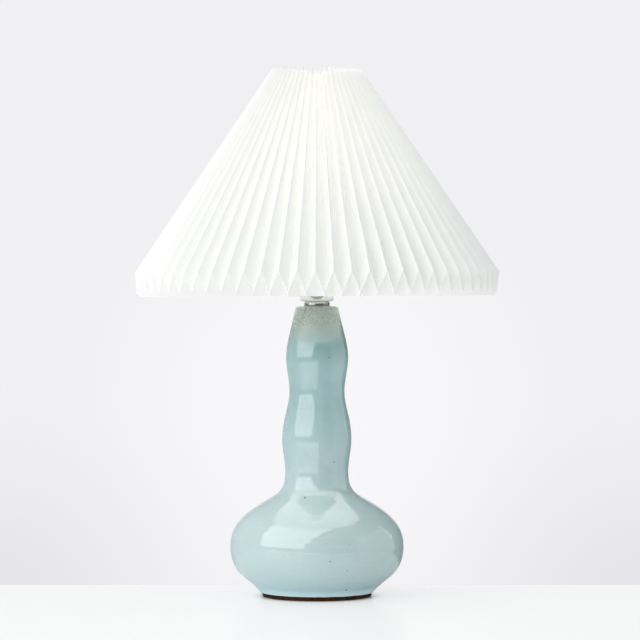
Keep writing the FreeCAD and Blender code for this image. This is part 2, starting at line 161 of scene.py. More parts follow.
def roundedOutline(corners):
    # closed outline of (radius, height, rounding): each corner becomes a parabola tangent to its sides
    corner = np.array([c[:2] for c in corners], float)
    reach = np.array([c[2:] for c in corners], float)
    start = corner + unit(np.roll(corner, 1, 0) - corner) * reach
    end = corner + unit(np.roll(corner, -1, 0) - corner) * reach
    bend = parabola(start, corner, end, np.linspace(0, 1, cornerSteps)[None, :, None])
    return np.concatenate([b if r > 0 else c[None] for b, r, c in zip(bend, reach[:, 0], corner)])


def turnedPoints(outline, steps):
    # outline (radius, height) in mm carried round the Z axis
    angle = fullTurn(steps)
    r, z = outline[:, 0, None] * mm, outline[:, 1, None] * mm
    return np.stack([r * np.cos(angle), r * np.sin(angle), z + 0 * angle], -1)


def turnedPiece(node, outline, steps, body, slot, sharpAngle, closeRows=True):
    quads = gridQuads(len(outline), steps, closeRows)
    newPiece(node, turnedPoints(outline, steps), quads, body, slot, sharpAngle)


def smoothCurve(turns, count):
    # natural cubic through the turns by chord length, as count points
    turns = np.array(turns, float)
    chord = np.concatenate([[0], np.cumsum(np.linalg.norm(np.diff(turns, axis=0), axis=1))])
    h = np.diff(chord)
    n = len(turns)
    system, right = np.eye(n), np.zeros((n, 2))
    inner = np.arange(1, n - 1)
    system[inner, inner - 1] = h[:-1]
    system[inner, inner] = 2 * (h[:-1] + h[1:])
    system[inner, inner + 1] = h[1:]
    slope = np.diff(turns, axis=0) / h[:, None]
    right[1:-1] = 6 * np.diff(slope, axis=0)
    bend = np.linalg.solve(system, right)
    s = np.linspace(0, chord[-1], count)
    k = np.clip(np.searchsorted(chord, s, side="right") - 1, 0, n - 2)
    a, b = ((chord[k + 1] - s) / h[k])[:, None], ((s - chord[k]) / h[k])[:, None]
    cube = ((a ** 3 - a) * bend[k] + (b ** 3 - b) * bend[k + 1]) * (h[k] ** 2)[:, None] / 6
    return a * turns[k] + b * turns[k + 1] + cube


# Materials are built from a few shared groups: clouding, sparse pits and fine grain.

def place(kind, inputs=None, tree=None, **fields):
    # adds a node to the tree that its inputs come from, sets its fields and links or fills its sockets
    inputs = inputs or {}
    linked = [value for value in inputs.values() if isinstance(value, bpy.types.NodeSocket)]
    tree = tree or linked[0].id_data
    node = tree.nodes.new(kind)
    for field, value in fields.items():
        setattr(node, field, value)
    for socket, value in inputs.items():
        if isinstance(value, bpy.types.NodeSocket):
            tree.links.new(value, node.inputs[socket])
        else:
            node.inputs[socket].default_value = value
    return node


def combine(operation, a, b=0.0, clamp=False):
    return place("ShaderNodeMath", {0: a, 1: b}, operation=operation, use_clamp=clamp).outputs[0]


def times(a, b):
    return combine("MULTIPLY", a, b)


def plus(a, b, clamp=False):
    return combine("ADD", a, b, clamp)


def aboutHalf(value, reach):
    # a value round a half as a wander round nothing
    return times(combine("SUBTRACT", value, 0.5), reach)


def spread(value, low, high, toLow=0.0, toHigh=1.0):
    # smooth step of a value between two levels
    sockets = {"Value": value, "From Min": low, "From Max": high, "To Min": toLow, "To Max": toHigh}
    return place("ShaderNodeMapRange", sockets, interpolation_type="SMOOTHSTEP").outputs[0]


def blendColour(share, a, b):
    return place("ShaderNodeMix", {0: share, 6: a, 7: b}, data_type="RGBA").outputs[2]


def objectPlace(tree):
    return place("ShaderNodeTexCoord", tree=tree).outputs["Object"]


def axes(vector):
    return place("ShaderNodeSeparateXYZ", {0: vector}).outputs


def farFrom(vector, spot=(0.0, 0.0, 0.0)):
    return place("ShaderNodeVectorMath", {0: vector, 1: spot}, operation="DISTANCE").outputs["Value"]


def stretched(vector, x, y, z):
    return place("ShaderNodeMapping", {"Vector": vector, "Scale": (x, y, z)}).outputs[0]


def noise(vector, scale, detail=3.0, roughness=0.5, distortion=0.0):
    sockets = {"Vector": vector, "Scale": scale, "Detail": detail, "Roughness": roughness,
               "Distortion": distortion}
    return place("ShaderNodeTexNoise", sockets).outputs[0]


def cells(vector, scale):
    return place("ShaderNodeTexVoronoi", {"Vector": vector, "Scale": scale}).outputs


def attribute(tree, name):
    return place("ShaderNodeAttribute", tree=tree, attribute_name=name).outputs["Fac"]


def rayKinds(tree):
    return place("ShaderNodeLightPath", tree=tree).outputs


def bump(height, distance, strength=1.0, normal=None):
    sockets = {"Height": height, "Distance": distance, "Strength": strength}
    if normal is not None:
        sockets["Normal"] = normal
    return place("ShaderNodeBump", sockets).outputs[0]


def newGroup(name, inputs, outputs):
    # inputs and outputs are given as the kind of socket for each label
    group = bpy.data.node_groups.new(name, "ShaderNodeTree")
    for side, sockets in (("INPUT", inputs), ("OUTPUT", outputs)):
        for label, kind in sockets.items():
            group.interface.new_socket(label, in_out=side, socket_type="NodeSocket" + kind)
    return group, group.nodes.new("NodeGroupInput").outputs, group.nodes.new("NodeGroupOutput").inputs


def useGroup(group, **sockets):
    return place("ShaderNodeGroup", sockets, node_tree=group).outputs


def makeMottle():
    # two sizes of cloud mixed into one mask, and two colours mixed by it
    group, given, made = newGroup(
        "softMottle",
        {"Place": "Vector", "Scale": "Float", "Contrast": "Float", "Light": "Color", "Dark": "Color"},
        {"Color": "Color"})
    wide = noise(given["Place"], given["Scale"], 2.0)
    fine = noise(given["Place"], times(given["Scale"], 4.3), 3.0)
    both = plus(times(wide, 0.7), times(fine, 0.3))
    mask = plus(times(aboutHalf(both, given["Contrast"]), 3.0), 0.5, clamp=True)
    group.links.new(blendColour(mask, given["Light"], given["Dark"]), made["Color"])
    return group


def makePits():
    # a few small round pits: cells whose own random number is under the share, each with one pit
    group, given, made = newGroup(
        "sparsePits",
        {"Place": "Vector", "Scale": "Float", "Share": "Float", "Size": "Float"}, {"Mask": "Float"})
    cell = cells(given["Place"], given["Scale"])
    chance = place("ShaderNodeSeparateColor", {0: cell["Color"]}).outputs[0]
    chosen = combine("LESS_THAN", chance, given["Share"])
    edge = times(given["Size"], 0.45)
    near = spread(cell["Distance"], edge, given["Size"], 1.0, 0.0)
    group.links.new(times(chosen, near), made["Mask"])
    return group


def makeGrain():
    # fine even grain, as a normal for the surface
    group, given, made = newGroup(
        "fineGrain", {"Place": "Vector", "Scale": "Float", "Depth": "Float"}, {"Normal": "Vector"})
    grain = noise(given["Place"], given["Scale"], 4.0, 0.6)
    group.links.new(bump(grain, given["Depth"]), made["Normal"])
    return group


mottleGroup, pitGroup, grainGroup = makeMottle(), makePits(), makeGrain()


def clouded(where, scale, contrast, light, dark):
    sockets = {"Place": where, "Scale": scale, "Contrast": contrast, "Light": light, "Dark": dark}
    return useGroup(mottleGroup, **sockets)["Color"]


def newMaterial(name, **constants):
    # a material whose Principled shader gets its unchanging values on its own sockets
    material = bpy.data.materials.new(name)
    material.use_nodes = True
    tree = material.node_tree
    shader = tree.nodes["Principled BSDF"]
    for label, value in constants.items():
        shader.inputs[label.replace("_", " ")].default_value = value
    return material, tree, shader


def connect(tree, shader, **sockets):
    for label, socket in sockets.items():
        tree.links.new(socket, shader.inputs[label.replace("_", " ")])


def moulded(name, light, dark, roughness, scale=60.0, grainDepth=0.00001):
    # plastic, paint, rubber or porcelain: faint clouding, uneven polish, fine grain, odd dust pits
    material, tree, shader = newMaterial(name, IOR=1.48)
    where = objectPlace(tree)
    cloud = clouded(where, scale, 0.8, light, dark)
    grain = useGroup(grainGroup, Place=where, Scale=1400.0, Depth=grainDepth)
    pits = useGroup(pitGroup, Place=where, Scale=160.0, Share=0.06, Size=0.12)
    colour = blendColour(times(pits["Mask"], 0.35), cloud, tuple(c * 0.6 for c in dark[:3]) + (1,))
    uneven = spread(noise(where, 220.0), 0.3, 0.7, roughness * 0.85, roughness * 1.2)
    connect(tree, shader, Base_Color=colour, Roughness=uneven, Normal=grain["Normal"])
    return material


def polished(name, light, dark, roughness, turned):
    # bare or plated metal: fine turning lines round the axis, clouded tarnish, uneven polish
    material, tree, shader = newMaterial(name, Metallic=1.0)
    where = objectPlace(tree)
    lines = stretched(where, 20, 20, 900) if turned else stretched(where, 60, 60, 60)
    fine = noise(lines, 3.0, 4.0, 0.6)
    uneven = spread(fine, 0.3, 0.7, roughness * 0.7, roughness * 1.5)
    connect(tree, shader, Base_Color=clouded(where, 130.0, 1.0, light, dark), Roughness=uneven,
            Normal=bump(fine, 0.000006))
    return material


# The body: a squashed gourd with a twice swollen neck, thrown and glazed.

bodyForm = {
    # radius and height of each turn of the outline, from the glaze's edge to the lip
    "turns": ((58.4, 4.2), (64.9, 10.8), (83.4, 27.5), (90.7, 50.0), (87.2, 69.1), (69.0, 89.6),
              (48.8, 102.3), (37.6, 110.7), (33.1, 124.5), (36.2, 159.5), (33.8, 185.5),
              (28.8, 211.0), (32.4, 249.0), (27.2, 279.5), (22.3, 299.6)),
    "footRadius": 57.7,
    "footRing": 9.0,
    "footRecess": 4.0,
    "footTaper": 1.2,
    "floor": 11.0,
    "wall": 6.5,
    "neckTop": 302.2,
    "lipRound": 2.6,
    "dishRadius": 13.6,
    "dishDepth": 0.8,
    "boreRadius": 7.2,
    "ledge": 8.0,
    "cavityFrom": 24.0,     # the outline's height from which the inside wall follows it
    "cavityUnder": 1.5,     # and its end below the ledge
    "edge": 0.5,            # softened edges of the dish and the foot
    "glazeRoll": 0.45,      # the glaze stands out this far where it ends above the bare foot
    "rollLength": 1.1,
    "ringPitch": 5.2,       # throwing marks
    "ringDepth": 0.05,
    "ringBeat": 23.0,       # length over which they come and go
    "unevenness": 0.16,
    "topFade": 10.0,        # both fade out over these lengths towards the lip and the glaze's edge
    "topPlain": 2.0,
    "footFade": 8.0,
    # lobes round the body, length over which they turn, and phase of each slow dent
    "dents": ((1, 31.0, 0.4), (2, 19.0, 2.1), (3, 26.0, 4.0), (5, 13.0, 1.0)),
    "inletHeight": 36.0,
    "inletHole": 5.0,
    "inletSpot": 7.0,
    "inletSink": 1.8,       # depth of the flat spot under the bushing's face
    "inletReach": 30.0,
    "inletSides": 48,
    "steps": 192,
    "rows": 210,
    "lipRows": 7,
    "sharpAngle": 38,
    "poolPoints": 400,
    "poolReach": 45,        # points each way over which the outline is evened out
    "poolRange": 3.5,
}

glazeLook = {
    "pale": (0.455, 0.64, 0.655, 1),
    "middle": (0.395, 0.575, 0.60, 1),
    "deep": (0.278, 0.455, 0.462, 1),
    "thin": (0.47, 0.655, 0.66, 1),
    # painted light: the belly and foot colours make the body paler low down, as lit by the bright table
    "belly": (0.64, 0.79, 0.805, 1),
    "foot": (0.56, 0.80, 0.86, 1),
    "mattLight": (0.42, 0.485, 0.435, 1),
    "mattMid": (0.335, 0.42, 0.385, 1),
    "mattPaintedShade": (0.25, 0.315, 0.275, 1),
    "mattDark": (0.13, 0.16, 0.135, 1),
    "clay": (0.016, 0.0055, 0.0015, 1),
    "clayLight": (0.060, 0.025, 0.008, 1),
    "speck": (0.16, 0.20, 0.18, 1),
    "pinhole": (0.06, 0.07, 0.06, 1),
    # heights in metres between which each part of the glaze gives way to the next
    "dryHeights": (0.258, 0.289),
    "dryWander": 0.022,
    "dryPaintedShadeSides": (-0.012, 0.004),    # painted shade: it is darker to the right, away from the light, and so is the glaze under it
    "deepHeights": (0.232, 0.262),
    "paintedShadeSides": (-0.016, 0.004),
    # where the painted light low on the body and near the foot sets in
    "bellyHeights": (0.200, 0.095),
    "footHeights": (0.030, 0.006),
    "speckleHeights": (0.274, 0.302),
    "speckleLean": -0.35,   # rise of the speckles' edge for each step to the left
    "clayHeights": (0.0044, 0.0048),
    "clayWander": 0.0007,
    "underRadius": 0.054,   # inside this radius and below this height all is clay
    "underTop": 0.02,
    # pinholes in the glaze: across and up, as seen from the front, and radius (mm)
    "pinholes": ((12.5, 249.0, 0.8), (-12.5, 105.4, 1.0), (17.7, 141.0, 0.7), (13.5, 43.7, 0.9),
                 (30.7, 33.6, 0.7), (30.2, 11.8, 1.1)),
}


def bodyOutline():
    # closed outline (radius, height): up the outside, over the lip, down the bore, down inside the wall
    # and back under the foot
    form = bodyForm
    outside = smoothCurve(form["turns"], form["rows"])
    lipRadius, top, edge = form["turns"][-1][0], form["neckTop"], form["edge"]
    angle = np.linspace(0, math.pi / 2, form["lipRows"] + 1)[1:]
    lip = np.stack([lipRadius - form["lipRound"] * (1 - np.cos(angle)),
                    top - form["lipRound"] * (1 - np.sin(angle))], -1)
    seat = top - form["dishDepth"]
    dish, bore, ledge = form["dishRadius"], form["boreRadius"], top - form["ledge"]
    head = [(dish + edge, top), (dish + edge / 5, top - edge / 5), (dish, top - edge),
            (dish - edge / 10, seat), (bore, seat), (bore, ledge),
            (outside[-1, 0] - form["wall"] - 2 * edge, ledge)]
    along = unit(np.gradient(outside, axis=0))
    cavity = outside + np.stack([-along[:, 1], along[:, 0]], -1) * form["wall"]
    kept = (outside[:, 1] > form["cavityFrom"]) & (cavity[:, 1] < ledge - form["cavityUnder"])
    cavity = cavity[kept][::-5]
    foot, glazeZ, recess = form["footRadius"], form["turns"][0][1], form["footRecess"]
    ringIn, heel = foot - form["footRing"], foot - form["footTaper"]
    floorRadius = np.interp(form["floor"], outside[:, 1], outside[:, 0]) - form["wall"] * 1.5
    base = [(floorRadius, form["floor"]), (0, form["floor"]), (0, recess), (ringIn - 2 * edge, recess),
            (ringIn - 0.6 * edge, recess - edge), (ringIn, edge), (ringIn + edge, 0),
            (heel - 1.2 * edge, 0), (heel, 0.7 * edge), (foot - 0.4 * edge, glazeZ - edge),
            (foot - 0.1 * edge, glazeZ - 0.3 * edge)]
    return np.concatenate([outside, lip, head, cavity, base])


def bodySurface():
    # the outline turned, then pushed out: throwing marks spiral up the wall, over slow dents left by
    # the hands, both fading towards the lip and the foot, and the glaze ends in a roll
    form = bodyForm
    points = turnedPoints(bodyOutline(), form["steps"]) / mm
    skin = points[:form["rows"] + form["lipRows"]]
    z, angle, glazeZ = skin[..., 2], np.arctan2(skin[..., 1], skin[..., 0]), form["turns"][0][1]
    turn = 2 * math.pi * z / form["ringPitch"] - angle
    rings = form["ringDepth"] * np.sin(turn) * (0.6 + 0.4 * np.sin(z / form["ringBeat"] + angle))
    dents = sum(np.sin(k * angle + z / length + phase) / k ** 0.7 for k, length, phase in form["dents"])
    fromTop, fromFoot = form["neckTop"] - form["topPlain"] - z, z - glazeZ
    swell = np.exp(-(fromFoot / form["rollLength"]) ** 2) * form["glazeRoll"]
    fade = np.clip(fromTop / form["topFade"], 0, 1) * np.clip(fromFoot / form["footFade"], 0, 1)
    push = (rings + form["unevenness"] * dents) * fade + swell
    radius = np.hypot(skin[..., 0], skin[..., 1])
    skin[..., :2] *= ((radius + push) / radius)[..., None]
    return points * mm


def cutInlet(piece):
    # the flat spot and the hole for the cord bushing, cut through the back wall near the foot
    form = bodyForm
    sides, reach = form["inletSides"], form["inletReach"] * mm
    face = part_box("cord_bushing")[1].y - form["inletSink"] * mm
    angle = fullTurn(sides)
    faces = gridQuads(2, sides).tolist() + [list(range(sides)), list(range(sides, 2 * sides))]
    cutters = []
    for radius, near in ((form["inletSpot"], face), (form["inletHole"], face - reach)):
        x, z = radius * mm * np.cos(angle), (form["inletHeight"] + radius * np.sin(angle)) * mm
        ends = [np.stack([x, y + 0 * angle, z], -1) for y in (near, face + reach)]
        mesh = newMesh("inletCutter", ends, faces)
        tidyMesh(mesh, 35)
        cutter = newObject("inletCutter", mesh)
        cut = piece.modifiers.new("cut", "BOOLEAN")
        cut.operation, cut.solver, cut.object = "DIFFERENCE", "EXACT", cutter
        cutters.append(cutter)
    graph = bpy.context.evaluated_depsgraph_get()
    mesh = bpy.data.meshes.new_from_object(piece.evaluated_get(graph))
    piece.modifiers.clear()
    piece.data = mesh
    for cutter in cutters:
        bpy.data.objects.remove(cutter)
    mesh.set_sharp_from_angle(angle=math.radians(form["sharpAngle"]))


def poolingAttribute(mesh):
    # how thickly the glaze lies: more where the outline curves inwards, less over the swellings
    form = bodyForm
    outside, reach = smoothCurve(form["turns"], form["poolPoints"]), form["poolReach"]
    window = np.ones(2 * reach + 1) / (2 * reach + 1)
    smooth = np.convolve(np.pad(outside[:, 0], reach, mode="edge"), window, mode="valid")
    pool = np.clip(0.5 + (smooth - outside[:, 0]) / form["poolRange"], 0, 1)
    spots = np.zeros(len(mesh.vertices) * 3, np.float32)
    mesh.vertices.foreach_get("co", spots)
    z = spots.reshape(-1, 3)[:, 2] / mm
    storeValues(mesh, "pool", np.interp(z, outside[:, 1], pool))


def pinholeMask(where):
    # round spots at the places of the pinholes, measured on the front of the body
    across, back, up = axes(where)
    total = 0.0
    for x, z, radius in glazeLook["pinholes"]:
        dx = combine("SUBTRACT", across, x * mm)
        dz = combine("SUBTRACT", up, z * mm)
        far = combine("SQRT", plus(times(dx, dx), times(dz, dz)))
        spot = spread(far, radius * 0.45 * mm, radius * mm, 1.0, 0.0)
        total = combine("MAXIMUM", total, spot)
    return times(total, combine("LESS_THAN", back, 0.0))


def celadonStoneware():
    look = glazeLook
    material, tree, shader = newMaterial("celadonStoneware", IOR=1.6)
    where = objectPlace(tree)
    sideways, _, height = axes(where)
    glaze = clouded(where, 28.0, 0.9, look["pale"], look["middle"])
    runs = noise(stretched(where, 1, 1, 0.5), 42.0, 3.0, 0.5, 0.4)
    depth = plus(times(attribute(tree, "pool"), 0.75), times(runs, 0.5))
    # towards the neck's top, under the dry glaze, it turns to the deep colour, and painted shade makes it
    # darker to the right, away from the light; low on the body and near the foot painted light makes it
    # paler; small iron specks lie under it, and it has pinholes
    deepTopAndShade = times(spread(height, *look["deepHeights"]), spread(sideways, *look["paintedShadeSides"], 0.5, 1.0))
    specks = useGroup(pitGroup, Place=where, Scale=210.0, Share=0.05, Size=0.16)["Mask"]
    holes = pinholeMask(where)
    for share, colour in (
            (spread(depth, 0.35, 0.95, 0.0, 0.12), "deep"),
            (spread(depth, 0.15, 0.42, 0.55, 0.0), "thin"),
            (deepTopAndShade, "deep"),
            # painted light: paler low on the body and near the foot
            (spread(height, *look["bellyHeights"], 0.0, 0.75), "belly"),
            (spread(height, *look["footHeights"], 0.0, 0.55), "foot"),
            (times(specks, 0.28), "speck"),
            (times(holes, 0.75), "pinhole")):
        glaze = blendColour(share, glaze, look[colour])
    # dry glaze round the neck's top, its lower edge uneven, with painted shade darker to the right, away
    # from the light
    ragged = aboutHalf(noise(where, 70.0, 4.0, 0.6), look["dryWander"])
    dry = spread(plus(height, ragged), *look["dryHeights"])
    dryColour = clouded(where, 60.0, 1.2, look["mattLight"], look["mattMid"])
    dryColour = blendColour(spread(sideways, *look["dryPaintedShadeSides"], 0.0, 0.65), dryColour, look["mattPaintedShade"])
    # its speckles are thickest at the top and on the left
    grit = times(cells(where, 760.0)["Distance"], plus(noise(where, 900.0, 3.0), 0.4))
    leaning = plus(height, times(sideways, look["speckleLean"]))
    thick = spread(leaning, *look["speckleHeights"], 0.1, 0.8)
    dusting = times(spread(grit, 0.40, 0.66), thick)
    dryColour = blendColour(dusting, dryColour, look["mattDark"])
    colour = blendColour(dry, glaze, dryColour)
    # bare clay under the glaze's lower edge and on the underside
    wander = aboutHalf(noise(where, 120.0), look["clayWander"])
    bare = spread(plus(height, wander), *look["clayHeights"], 1.0, 0.0)
    under = times(combine("LESS_THAN", farFrom(stretched(where, 1, 1, 0)), look["underRadius"]),
                  combine("LESS_THAN", height, look["underTop"]))
    bare = combine("MAXIMUM", bare, under)
    colour = blendColour(bare, colour, clouded(where, 260.0, 1.0, look["clayLight"], look["clay"]))
    polish = spread(noise(where, 240.0), 0.3, 0.7, 0.04, 0.075)
    rough = plus(plus(polish, times(dry, 0.22)), times(bare, 0.7), clamp=True)
    # the clay has next to no sheen
    sheen = combine("SUBTRACT", 0.5, times(bare, 0.45))
    # skin of the glaze: slow ripple, orange peel, pits; grit on the dry part and the clay
    ripple = bump(noise(where, 85.0, 2.0), 0.00010)
    peel = bump(noise(where, 520.0, 2.0), 0.000008, normal=ripple)
    pitted = bump(plus(holes, times(specks, 0.15)), -0.0005, 1.0, peel)
    gritty = times(plus(grit, noise(where, 1500.0, 3.0)), combine("MAXIMUM", dry, bare))
    connect(tree, shader, Base_Color=colour, Roughness=rough, Specular_IOR_Level=sheen,
            Normal=bump(gritty, 0.00012, 1.0, pitted))
    return material


def makeBody():
    form = bodyForm
    points = bodySurface()
    quads = gridQuads(len(points), form["steps"], closeRows=True)
    piece = newPiece("stoneware_body", points, quads, "base", "celadon_stoneware", form["sharpAngle"])
    cutInlet(piece)
    poolingAttribute(piece.data)


finishes = {"celadon_stoneware": celadonStoneware()}
makeBody()
print("stoneware body turned")


# The shade: one folded sheet, its border folded back.

shadeForm = {
    "pleats": 66,
    "panelWidth": 16.5,
    "sheet": 0.4,
    "coneAngle": 34.0,
    "rimRadius": 47.0,
    "ridgeLength": 255.7,
    "borderAngle": 46.0,
    "hem": 5.2,
    "turn": -0.48,          # degrees round the axis, against the CAD's front ridge
    "rimSlope": -0.016,     # the rim is a little higher on the left, the border a little lower
    "borderSlope": 0.0052,
    "wander": 0.28,         # unevenness of the fold lines: around, out and down
    "outWander": 0.12,
    "tipWander": 0.30,
    "tipShares": (1.0, 0.6, 1.0),   # at the rim, the border's fold and the free edge
    "seed": 7,
    "bow": 0.30,            # how far a panel bulges between its folds
    "ridgeRound": 0.045,    # share of a panel's width taken by half the rounded fold
    "innerRound": 0.02,
    "creaseReach": 0.7,     # rounding of the border's fold, each way along the line
    "paintedBorderGlow": 0.34,
    "shutFrom": 0.56,       # folds this share of a panel apart begin to shade each other, and to get painted glow
    "shutRange": 0.42,
    "shutPower": 0.7,
    "upperRows": 15,
    "borderRows": 5,
    "across": (0.0, 0.25, 0.5, 0.75),   # steps over a fold, and over the panel beside it
}

sheetLook = {
    "white": (0.927, 0.927, 0.917, 1),
    "shadow": (0.892, 0.897, 0.877, 1),
    "fold": (0.938, 0.938, 0.928, 1),
    "glow": 0.36,                         # share of the light that goes into the sheet
    "glowReach": 0.0002,
    "between": (0.188, 0.182, 0.166, 1),  # painted glow: emission for the light that the bulb and the folds pass on to each other
    "through": 0.15,                      # share of that painted glow put on the sheet's upper part, for light showing through it
    "throughHeights": (0.34, 0.54),
    "paintedInsideGlow": (1.25, 1.25, 1.18, 1),   # painted reflection: extra glow on the shade's inside that only reflections see, so the glaze mirrors it brighter
}


def foldSections():
    # (radius, height) of ridge and valley lines at rim, border fold and free edge, from the rim down:
    # the valley lies so deep under the cone of the ridges that each panel keeps its width, and the
    # folded back border is cut level
    form = shadeForm
    cone, border = math.radians(form["coneAngle"]), math.radians(form["borderAngle"])
    down = np.array([math.sin(cone), -math.cos(cone)])
    inwards = np.array([-math.cos(cone), -math.sin(cone)])
    back = np.array([-math.sin(border), -math.cos(border)])
    width = form["panelWidth"]
    q = 2 - 2 * math.cos(math.pi / form["pleats"])

    def ridge(length):
        return np.array([form["rimRadius"], 0]) + length * down

    def valley(length):
        point = ridge(length)
        half = q * point[0] * math.cos(cone) / 2
        return point + inwards * (half + math.sqrt(half ** 2 - q * point[0] ** 2 + width ** 2))

    ridges = [ridge(0), ridge(form["ridgeLength"])]
    valleys = [valley(0), valley(form["ridgeLength"] + width)]
    valleys.append(valleys[1] + form["hem"] * back)
    ridges.append(ridges[1] + (valleys[2][1] - ridges[1][1]) / back[1] * back)
    return np.array(ridges), np.array(valleys)


def foldLines(ridges, valleys, rimHeight, draws):
    # places of every fold at the three levels, ridges and valleys in turn, with the sheet's unevenness
    form = shadeForm
    count = 2 * form["pleats"]
    k = np.arange(count)
    section = np.where((k % 2 == 0)[:, None, None], ridges[None], valleys[None])
    angle = k * math.pi / form["pleats"] - math.pi / 2 + math.radians(form["turn"])
    angle = angle[:, None] + draws["around"] * form["wander"] / np.maximum(section[..., 0], 60)
    # a ridge only moves in, so that the shade stays inside its box
    out = np.where((k % 2 == 0)[:, None], -np.abs(draws["out"]), draws["out"])
    radius = section[..., 0] + out * form["outWander"]
    points = np.stack([radius * np.cos(angle), radius * np.sin(angle), section[..., 1] + rimHeight], -1)
    slope = np.array([form["rimSlope"], form["borderSlope"], form["borderSlope"]])
    points[..., 2] += points[..., 0] * slope
    points[:, 0, 2] -= abs(form["rimSlope"]) * form["rimRadius"]
    points[..., 2] -= np.abs(draws["tip"]) * form["tipWander"]
    return points


def sheetInside(ridges, valleys):
    # the inner skin's section points: each fold moved in until its panels are a sheet's thickness away
    form = shadeForm
    half = math.pi / form["pleats"]

    def inSpace(point, side):
        return np.array([point[0] * math.sin(side * half), -point[0] * math.cos(side * half), point[1]])

    inside = []
    for own, side in ((ridges, 0), (valleys, 1)):
        radial = np.array([math.sin(side * half), -math.cos(side * half), 0])
        inner = []
        for level, strips in enumerate(((0,), (0, 1), (1,))):
            # the panels that meet here: above the border's fold, below it, or both
            flats = []
            for strip in strips:
                along = inSpace(own[strip + 1], side) - inSpace(own[strip], side)
                normal = unit(np.cross(along, inSpace(valleys[level], 1) - inSpace(ridges[level], 0)))
                normal *= -np.sign(normal[1])
                flats.append((normal @ radial, normal[2]))
            flats = np.array(flats)
            move = np.linalg.lstsq(flats, np.full(len(flats), -form["sheet"]), rcond=None)[0]
            inner.append(own[level] + move)
        inside.append(np.array(inner))
    return inside


def sheetRows(lines):
    # each fold line as rows of points: straight to the border fold, a small rounding, straight to the hem
    form = shadeForm
    rim, crease, hem = lines[:, 0], lines[:, 1], lines[:, 2]
    reach = form["creaseReach"]
    start = crease + reach * unit(rim - crease)
    end = crease + reach * unit(hem - crease)
    a = np.linspace(0, 1, form["upperRows"])[None, :, None]
    b = np.linspace(0, 1, form["borderRows"])[None, :, None]
    bend = parabola(start, crease, end, np.array(form["across"][1:])[None, :, None])
    return np.concatenate([rim[:, None] * (1 - a) + start[:, None] * a, bend,
                           end[:, None] * (1 - b) + hem[:, None] * b], 1)


def acrossSheet(rows, ridgeRound, valleyRound, bow):
    # between two folds the panel bows a little; at a fold it is a parabola tangent to both panels:
    # fold + e (1-t)^2 (previous - fold) + e t^2 (next - fold). Returns columns by rows of points, and
    # a mask that is 1 on the folds
    before, after = np.roll(rows, 1, 0), np.roll(rows, -1, 0)
    count = len(rows)
    even = (np.arange(count) % 2 == 0)[:, None, None]
    e = np.where(even, ridgeRound[None, :, None], valleyRound[None, :, None])
    eNext = np.roll(e, -1, 0)
    parts, masks = [], []
    for t in shadeForm["across"]:
        parts.append(rows + e * (1 - t) ** 2 * (before - rows) + e * t ** 2 * (after - rows))
        masks.append(1 - 1.3 * abs(t - 0.5))
    normal = unit(np.cross(after - rows, np.gradient(rows, axis=1)))
    for g in shadeForm["across"]:
        f = e + (1 - e - eNext) * g
        parts.append(rows * (1 - f) + after * f + normal * bow * 4 * g * (1 - g))
        masks.append(0.35 if g == 0 else 0.0)
    points = np.stack(parts, 1).reshape(count * 8, rows.shape[1], 3)
    mask = np.tile(np.array(masks), count)
    return points, np.repeat(mask[:, None], rows.shape[1], 1)


def pleatedSheet():
    look = sheetLook
    material, tree, shader = newMaterial("pleatedSheet", IOR=1.45, Subsurface_Weight=look["glow"],
                                         Subsurface_Radius=(1.0, 0.97, 0.92),
                                         Subsurface_Scale=look["glowReach"], Emission_Strength=1.0)
    where = objectPlace(tree)
    fibre = noise(stretched(where, 1, 1, 0.25), 1100.0, 4.0, 0.65)
    cloud = clouded(where, 40.0, 0.6, look["white"], look["shadow"])
    threads = blendColour(spread(fibre, 0.35, 0.75, 0.0, 0.4), cloud, look["shadow"])
    colour = blendColour(times(attribute(tree, "fold"), 0.6), threads, look["fold"])
    rough = spread(fibre, 0.3, 0.7, 0.5, 0.66)
    # painted glow: emission, strongest deep in shut folds, on the border and on the upper part, for light
    # passed through and between the folds
    through = spread(axes(where)[2], *look["throughHeights"], 0.0, look["through"])
    glowShare = plus(attribute(tree, "depth"), through)
    paintedGlow = blendColour(glowShare, (0, 0, 0, 1), look["between"])
    # painted reflection: only glossy rays see the inner skin glow brighter
    glossOnlyShare = times(rayKinds(tree)["Is Glossy Ray"], attribute(tree, "inside"))
    paintedGlow = blendColour(glossOnlyShare, paintedGlow, look["paintedInsideGlow"])
    connect(tree, shader, Base_Color=colour, Roughness=rough, Normal=bump(fibre, 0.00005, 0.7),
            Emission_Color=paintedGlow)
    return material


def foldGlowMask(points, fromInside):
    # how deep a point lies between two panels, and how close these are: 1 at the bottom of a shut fold.
    # This mask sets the sheet's painted glow
    form = shadeForm
    step = np.array((0, 0, 0, 0) + form["across"])
    across = np.tile(np.concatenate([step, 1 - step]), form["pleats"])[:, None]
    across = 1 - across if fromInside else across
    spacing = math.pi * np.hypot(points[..., 0], points[..., 1]) / form["pleats"]
    shut = np.clip((form["shutFrom"] - spacing / form["panelWidth"]) / form["shutRange"], 0, 1)
    depth = across ** form["shutPower"] * shut
    # the border, folded back, gets at least this much painted glow, as from the panels beside it
    border = np.arange(points.shape[1]) >= form["upperRows"] + 2
    return np.where(border, np.maximum(depth, form["paintedBorderGlow"]), depth)


